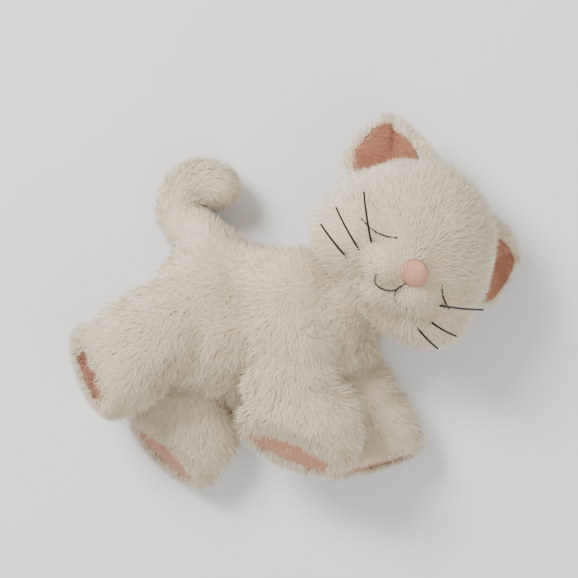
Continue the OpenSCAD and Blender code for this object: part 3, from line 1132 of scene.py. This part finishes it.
def stitch_tree():
    """A line of back stitches along a route: short spindles, end to end, each a little out of true."""
    if "BackStitch" in bpy.data.node_groups:
        return bpy.data.node_groups["BackStitch"]
    tree = bpy.data.node_groups.new("BackStitch", "GeometryNodeTree")
    face = tree.interface
    face.new_socket("Geometry", in_out="INPUT", socket_type="NodeSocketGeometry")
    for label, default in (("Stitch length", 0.003), ("Thread width", 0.001)):
        face.new_socket(label, in_out="INPUT", socket_type="NodeSocketFloat").default_value = default
    face.new_socket("Seed", in_out="INPUT", socket_type="NodeSocketInt").default_value = 1
    face.new_socket("Material", in_out="INPUT", socket_type="NodeSocketMaterial")
    face.new_socket("Geometry", in_out="OUTPUT", socket_type="NodeSocketGeometry")
    inputs = add(tree, "NodeGroupInput").outputs
    line = add(tree, "GeometryNodeMeshToCurve", {"Mesh": inputs["Geometry"]})
    points = add(
        tree, "GeometryNodeCurveToPoints",
        {"Curve": line.outputs[0], "Length": inputs["Stitch length"]}, mode="LENGTH",
    )
    ball = add(tree, "GeometryNodeMeshUVSphere", Segments=10, Rings=8, Radius=0.5)
    wobble = add(tree, "FunctionNodeRandomValue", {"Seed": inputs["Seed"]}, data_type="FLOAT_VECTOR")
    wobble.inputs["Min"].default_value = (-0.12, -0.12, -0.12)
    wobble.inputs["Max"].default_value = (0.12, 0.12, 0.12)
    turned = add(
        tree, "FunctionNodeRotateRotation",
        {"Rotation": points.outputs["Rotation"], "Rotate By": wobble.outputs[0]},
        rotation_space="LOCAL",
    )
    longer = add(tree, "ShaderNodeMath", {0: inputs["Stitch length"]}, operation="MULTIPLY")
    longer.inputs[1].default_value = 1.45
    size = add(
        tree, "ShaderNodeCombineXYZ",
        {"X": inputs["Thread width"], "Y": inputs["Thread width"], "Z": longer.outputs[0]},
    )
    placed = add(
        tree, "GeometryNodeInstanceOnPoints",
        {
            "Points": points.outputs["Points"], "Instance": ball.outputs["Mesh"],
            "Rotation": turned.outputs[0], "Scale": size.outputs[0],
        },
    )
    real = add(tree, "GeometryNodeRealizeInstances", {"Geometry": placed.outputs[0]})
    smooth = add(tree, "GeometryNodeSetShadeSmooth", {"Geometry": real.outputs[0]})
    dressed = add(
        tree, "GeometryNodeSetMaterial",
        {"Geometry": smooth.outputs[0], "Material": inputs["Material"]},
    )
    add(tree, "NodeGroupOutput", {"Geometry": dressed.outputs[0]})
    return tree


def stitched(name, routes, length, width, finish, seed):
    """A plain mesh of back stitches along some routes in mm."""
    mesh = bpy.data.meshes.new(name)
    verts, edges = [], []
    for route in routes:
        start = len(verts)
        verts += [tuple(Vector(p) * MM) for p in route]
        edges += [(start + i, start + i + 1) for i in range(len(route) - 1)]
    mesh.from_pydata(verts, edges, [])
    piece = new_object(name, mesh)
    sewing = piece.modifiers.new("Stitches", "NODES")
    sewing.node_group = stitch_tree()
    set_inputs(sewing, {
        "Stitch length": length * MM, "Thread width": width * MM, "Seed": seed,
        "Material": finish_of(finish),
    })
    finish_modifiers(piece)
    return piece


def arc(centre, radius, start, stop, steps=14):
    """Points of an arc on the face: middle, radius and angles in degrees."""
    angles = [math.radians(start + (stop - start) * i / steps) for i in range(steps + 1)]
    return [(centre[0] + radius * math.cos(a), centre[1] + radius * math.sin(a)) for a in angles]


class PLUSH_OT_face(bpy.types.Operator):
    """Embroiders the eyes and mouth, pads the nose and threads the whiskers"""

    bl_idname = "plush.face"
    bl_label = "Face"

    def execute(self, context):
        look = context.scene.plush_look
        eye_x = 37.5
        eye_y = 15.2
        eye_r = 24.4
        for side, word in ((-1, "right"), (1, "left")):
            inner_end = 270 + (-8 if side > 0 else -9)
            outer_end = 270 - 44 * side
            line = arc((side * eye_x, eye_y), eye_r, inner_end, outer_end)
            route = [on_face(x, y, 1.3) for x, y in line]
            eye = stitched(word + "_eye_thread", [route], 2.4, 1.05, "black", 5 + side)
            settle(eye, "head", (word + "_eye_stitching",))
        middle_x = 0.6
        curl_r = 8
        curl_y = -20.5
        down = [(middle_x, -17 - 1.5 * i) for i in range(3)]
        curls = [
            [on_face(x, y, 2.4) for x, y in down + arc((middle_x - curl_r, curl_y), curl_r, 0, -150)],
            [on_face(x, y, 1.2) for x, y in arc((middle_x + curl_r, curl_y), curl_r, 180, 320)],
        ]
        mouth = tube("mouth_thread", curls, [(0.95, 0.8), (0.8, 0.6)])
        coat(mouth, "black")
        settle(mouth, "head", ("mouth_stitching",))
        self.nose()
        self.whiskers(look)
        return {"FINISHED"}

    def nose(self):
        """A padded oval under close satin stitches, with a cord round its edge."""
        top = (HEAD_TURN.transposed() @ (on_face(NOSE_X, NOSE_Y) - HEAD)).z
        wide = 8.8
        high = 7.8
        proud = 5.6
        threads = 21
        steps = 16
        slant = math.radians(38)

        def dome(x, y):
            r = min(1.0, (x / wide) ** 2 + (y / high) ** 2)
            return in_head(NOSE_X + x, NOSE_Y + y, top - 1.2 + proud * math.sqrt(1 - r) ** 1.1)

        routes = []
        for i in range(threads):
            across = 0.97 * (-1 + 2 * i / (threads - 1))
            reach = math.sqrt(1 - across ** 2)
            route = []
            for k in range(steps + 1):
                run = reach * (-1 + 2 * k / steps)
                x = across * math.cos(slant) - run * math.sin(slant)
                y = across * math.sin(slant) + run * math.cos(slant)
                route.append(dome(x * wide, y * high))
            routes.append(route)
        rim = [
            in_head(
                NOSE_X + (wide + 0.1) * math.cos(a), NOSE_Y + (high + 0.1) * math.sin(a), top - 1.0,
            )
            for a in (2 * math.pi * k / 48 for k in range(49))
        ]
        satin = tube("nose_satin", routes, [(0.86, 0.86)] * threads, sides=6)
        coat(satin, "satin")
        settle(satin, "head")
        edge = tube("nose_edge", [rim], [(0.9, 0.9)])
        coat(edge, "edging")
        settle(edge, "head")
        egg = lump(in_head(NOSE_X, NOSE_Y, top - 1.5), (wide - 0.3, high - 0.3, proud - 0.2), HEAD_TURN)
        pad = stuffed("nose_padding", [egg], voxel=0.9, rounds=2, waves=0.0)
        coat(pad, "satin")
        settle(pad, "head", ("nose",))

    def whiskers(self, look):
        """Three stiff waxed threads on each cheek, rooted in the cloth."""
        rows = {
            # cheek: row, root across and up the face, rise, and how far it goes outwards and forwards
            -1: (
                ("upper", 26.5, -16, 25, 0.95, 0.5),
                ("middle", 28, -23.5, 7, 0.95, 0.5),
                ("lower", 25.5, -32, -1, 0.95, 0.5),
            ),
            1: (
                ("upper", 28, -13, 40, 0.6, 0.5),
                ("middle", 32, -23, 6, 0.3, 0.68),
                ("lower", 29, -31, -17, 0.36, 0.66),
            ),
        }
        length = 38
        width = look.whisker / MM
        lift = HEAD_TURN @ Vector((0, 0, 1))
        bend = HEAD_TURN @ Vector((0, 1, 0))
        for side, word in ((-1, "right"), (1, "left")):
            for level, x, y, rise, reach, stand in rows[side]:
                root = on_face(side * x, y, -1.5)
                angle = math.radians(rise)
                out = HEAD_TURN @ Vector((side * math.cos(angle), math.sin(angle), 0))
                route = []
                for k in range(13):
                    t = k / 12
                    straight = out * (length * reach * t) + lift * (length * stand * t)
                    route.append(root + straight + bend * (3 * t * t))
                name = word + "_" + level + "_whisker"
                whisker = tube(name + "_thread", [route], [(width, width * 0.8)])
                coat(whisker, "black")
                settle(whisker, "head", (name,))


class PLUSH_OT_inside(bpy.types.Operator):
    """Finishes the pieces that stay inside: pellet bags, gather thread and closing seam"""

    bl_idname = "plush.inside"
    bl_label = "Inside"

    def execute(self, context):
        for name, node in frame["nodes"].items():
            if node.hide_render:
                continue
            coat(node, "pellets" if "pellet" in name else "cotton")
        return {"FINISHED"}


class PLUSH_OT_stage(bpy.types.Operator):
    """Lays a pale paper sweep and sets soft light and the camera above the toy"""

    bl_idname = "plush.stage"
    bl_label = "Stage"

    def execute(self, context):
        half = 3
        mesh = bpy.data.meshes.new("sweep")
        corners = [(-half, -half, 0), (half, -half, 0), (half, half, 0), (-half, half, 0)]
        mesh.from_pydata(corners, [], [(0, 1, 2, 3)])
        sweep = new_object("sweep", mesh)
        mesh.materials.append(floor_material())
        world = bpy.data.worlds.new("soft_room")
        context.scene.world = world
        world.use_nodes = True
        room = world.node_tree.nodes["Background"].inputs
        room["Color"].default_value = srgb("#fdfbf7")
        room["Strength"].default_value = 0.62
        for name, spot, size, power in (
            ("key_softbox", (-0.85, 0.85, 1.15), 0.6, 38),
            ("fill_softbox", (0.7, -0.7, 1.3), 1.2, 10),
        ):
            data = bpy.data.lights.new(name, "AREA")
            data.size = size
            data.energy = power
            lamp = bpy.data.objects.new(name, data)
            context.scene.collection.objects.link(lamp)
            lamp.location = spot
            lamp.rotation_euler = (-Vector(spot)).to_track_quat("-Z", "Y").to_euler()
        data = bpy.data.cameras.new("camera")
        camera = bpy.data.objects.new("camera", data)
        context.scene.collection.objects.link(camera)
        height = 1.45
        field = 0.3585
        sensor = 36
        camera.location = (-0.0084, 0.0084, height)
        data.sensor_width = sensor
        data.lens = sensor * (height - TORSO_Z * MM) / field
        data.clip_start = 0.05
        data.clip_end = 20
        context.scene.camera = camera
        return {"FINISHED"}


class PLUSH_PT_panel(bpy.types.Panel):
    """The kitten's settings and steps"""

    bl_idname = "PLUSH_PT_panel"
    bl_label = "Plush kitten"
    bl_space_type = "VIEW_3D"
    bl_region_type = "UI"
    bl_category = "Plush"

    def draw(self, context):
        look = context.scene.plush_look
        for name in PlushLook.__annotations__:
            self.layout.prop(look, name)
        for step in STEPS:
            self.layout.operator(step.bl_idname)


STEPS = (
    PLUSH_OT_torso, PLUSH_OT_neck, PLUSH_OT_head, PLUSH_OT_legs, PLUSH_OT_pads, PLUSH_OT_tail,
    PLUSH_OT_ears, PLUSH_OT_face, PLUSH_OT_inside, PLUSH_OT_stage,
)
CLASSES = (PlushLook, *STEPS, PLUSH_PT_panel)


def register():
    for c in CLASSES:
        bpy.utils.register_class(c)
    bpy.types.Scene.plush_look = bpy.props.PointerProperty(type=PlushLook)


def unregister():
    del bpy.types.Scene.plush_look
    for c in reversed(CLASSES):
        bpy.utils.unregister_class(c)


def main():
    register()
    for name in ("torso", "neck", "head", "legs", "pads", "tail", "ears", "face", "inside", "stage"):
        getattr(bpy.ops.plush, name)()


if __name__ == "__main__":
    main()
